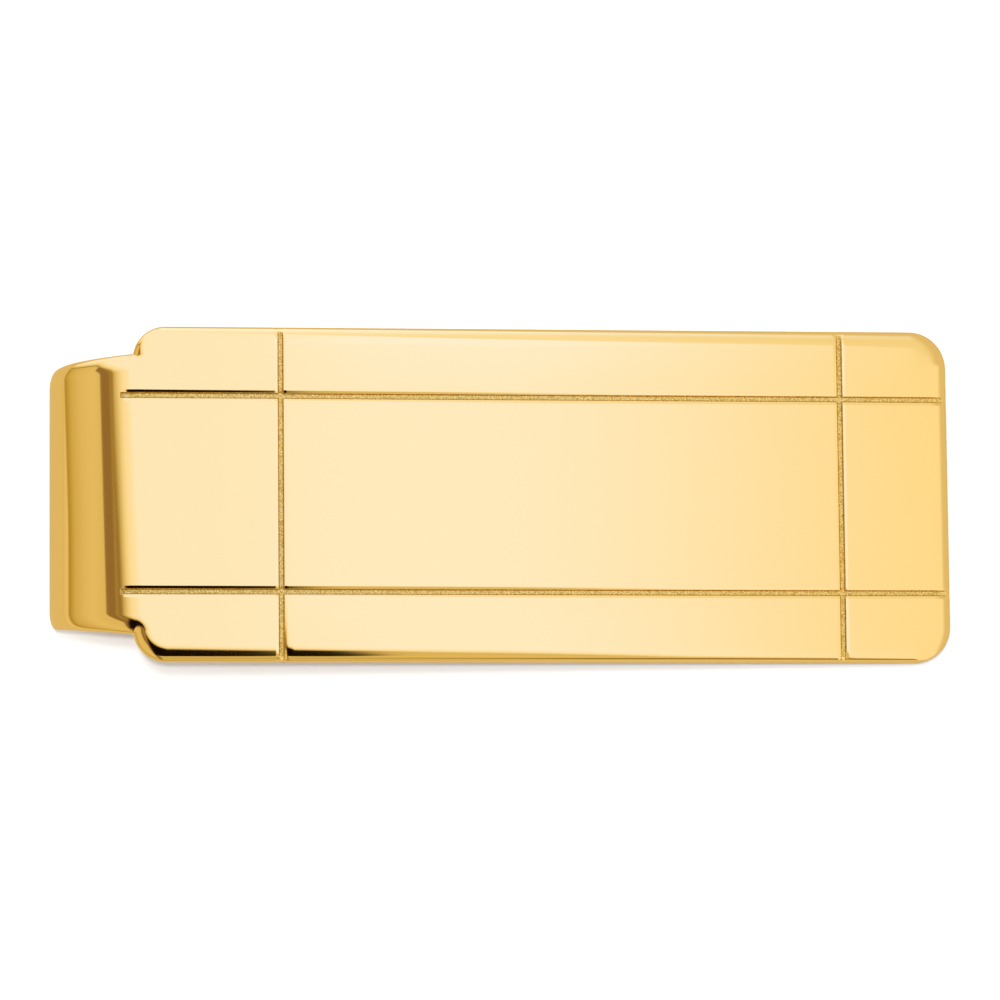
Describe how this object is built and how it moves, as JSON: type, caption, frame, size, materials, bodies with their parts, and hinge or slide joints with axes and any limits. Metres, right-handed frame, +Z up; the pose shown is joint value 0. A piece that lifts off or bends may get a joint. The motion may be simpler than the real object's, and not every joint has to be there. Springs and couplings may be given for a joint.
{
  "type": "money clip",
  "caption": "Slim spring clip for folded banknotes: a wide grooved face plate runs through a narrower bow into a sprung tongue with a flared lip.",
  "frame": {"origin": "bottom centre of the clip's box, as it lies on a table with its face plate up", "axes": "+Z up, +X along the strip towards the face plate's free end, with the bow at -X, +Y across the strip"},
  "size_m": [0.0538, 0.02, 0.0075],
  "materials": {
    "polished_gold_plate": "polished gold plate on brass"
  },
  "bodies": {
    "face": {"face_plate": "polished_gold_plate", "bow_front": "polished_gold_plate"},
    "nose": {"bow_nose": "polished_gold_plate"},
    "back": {"bow_back": "polished_gold_plate", "tongue_root": "polished_gold_plate"},
    "blade": {"tongue_blade": "polished_gold_plate"},
    "tip": {"tongue_tip": "polished_gold_plate", "lip": "polished_gold_plate"}
  },
  "joints": [
    {"name": "bow_front_flex", "type": "hinge", "parent": "face", "child": "nose", "pos_m": [-0.0253, 0, 0.00602], "axis": [0, 1, 0], "range_deg": [0, 2.8], "stiffness_Nm_per_rad": 44, "springref_deg": -0.34},
    {"name": "bow_back_flex", "type": "hinge", "parent": "nose", "child": "back", "pos_m": [-0.0258, 0, 0.00161], "axis": [0, 1, 0], "range_deg": [0, 2.4]},
    {"name": "tongue_root_flex", "type": "hinge", "parent": "back", "child": "blade", "pos_m": [-0.01469, 0, 0.00084], "axis": [0, 1, 0], "range_deg": [0, 5.1]},
    {"name": "tongue_blade_flex", "type": "hinge", "parent": "blade", "child": "tip", "pos_m": [-0.00279, 0, 0.0014], "axis": [0, 1, 0], "range_deg": [0, 3]}
  ],
  "couplings": [
    {"joint": "bow_back_flex", "follows": "bow_front_flex", "ratio": 0.857},
    {"joint": "tongue_root_flex", "follows": "bow_front_flex", "ratio": 1.82},
    {"joint": "tongue_blade_flex", "follows": "bow_front_flex", "ratio": 1.07}
  ]
}
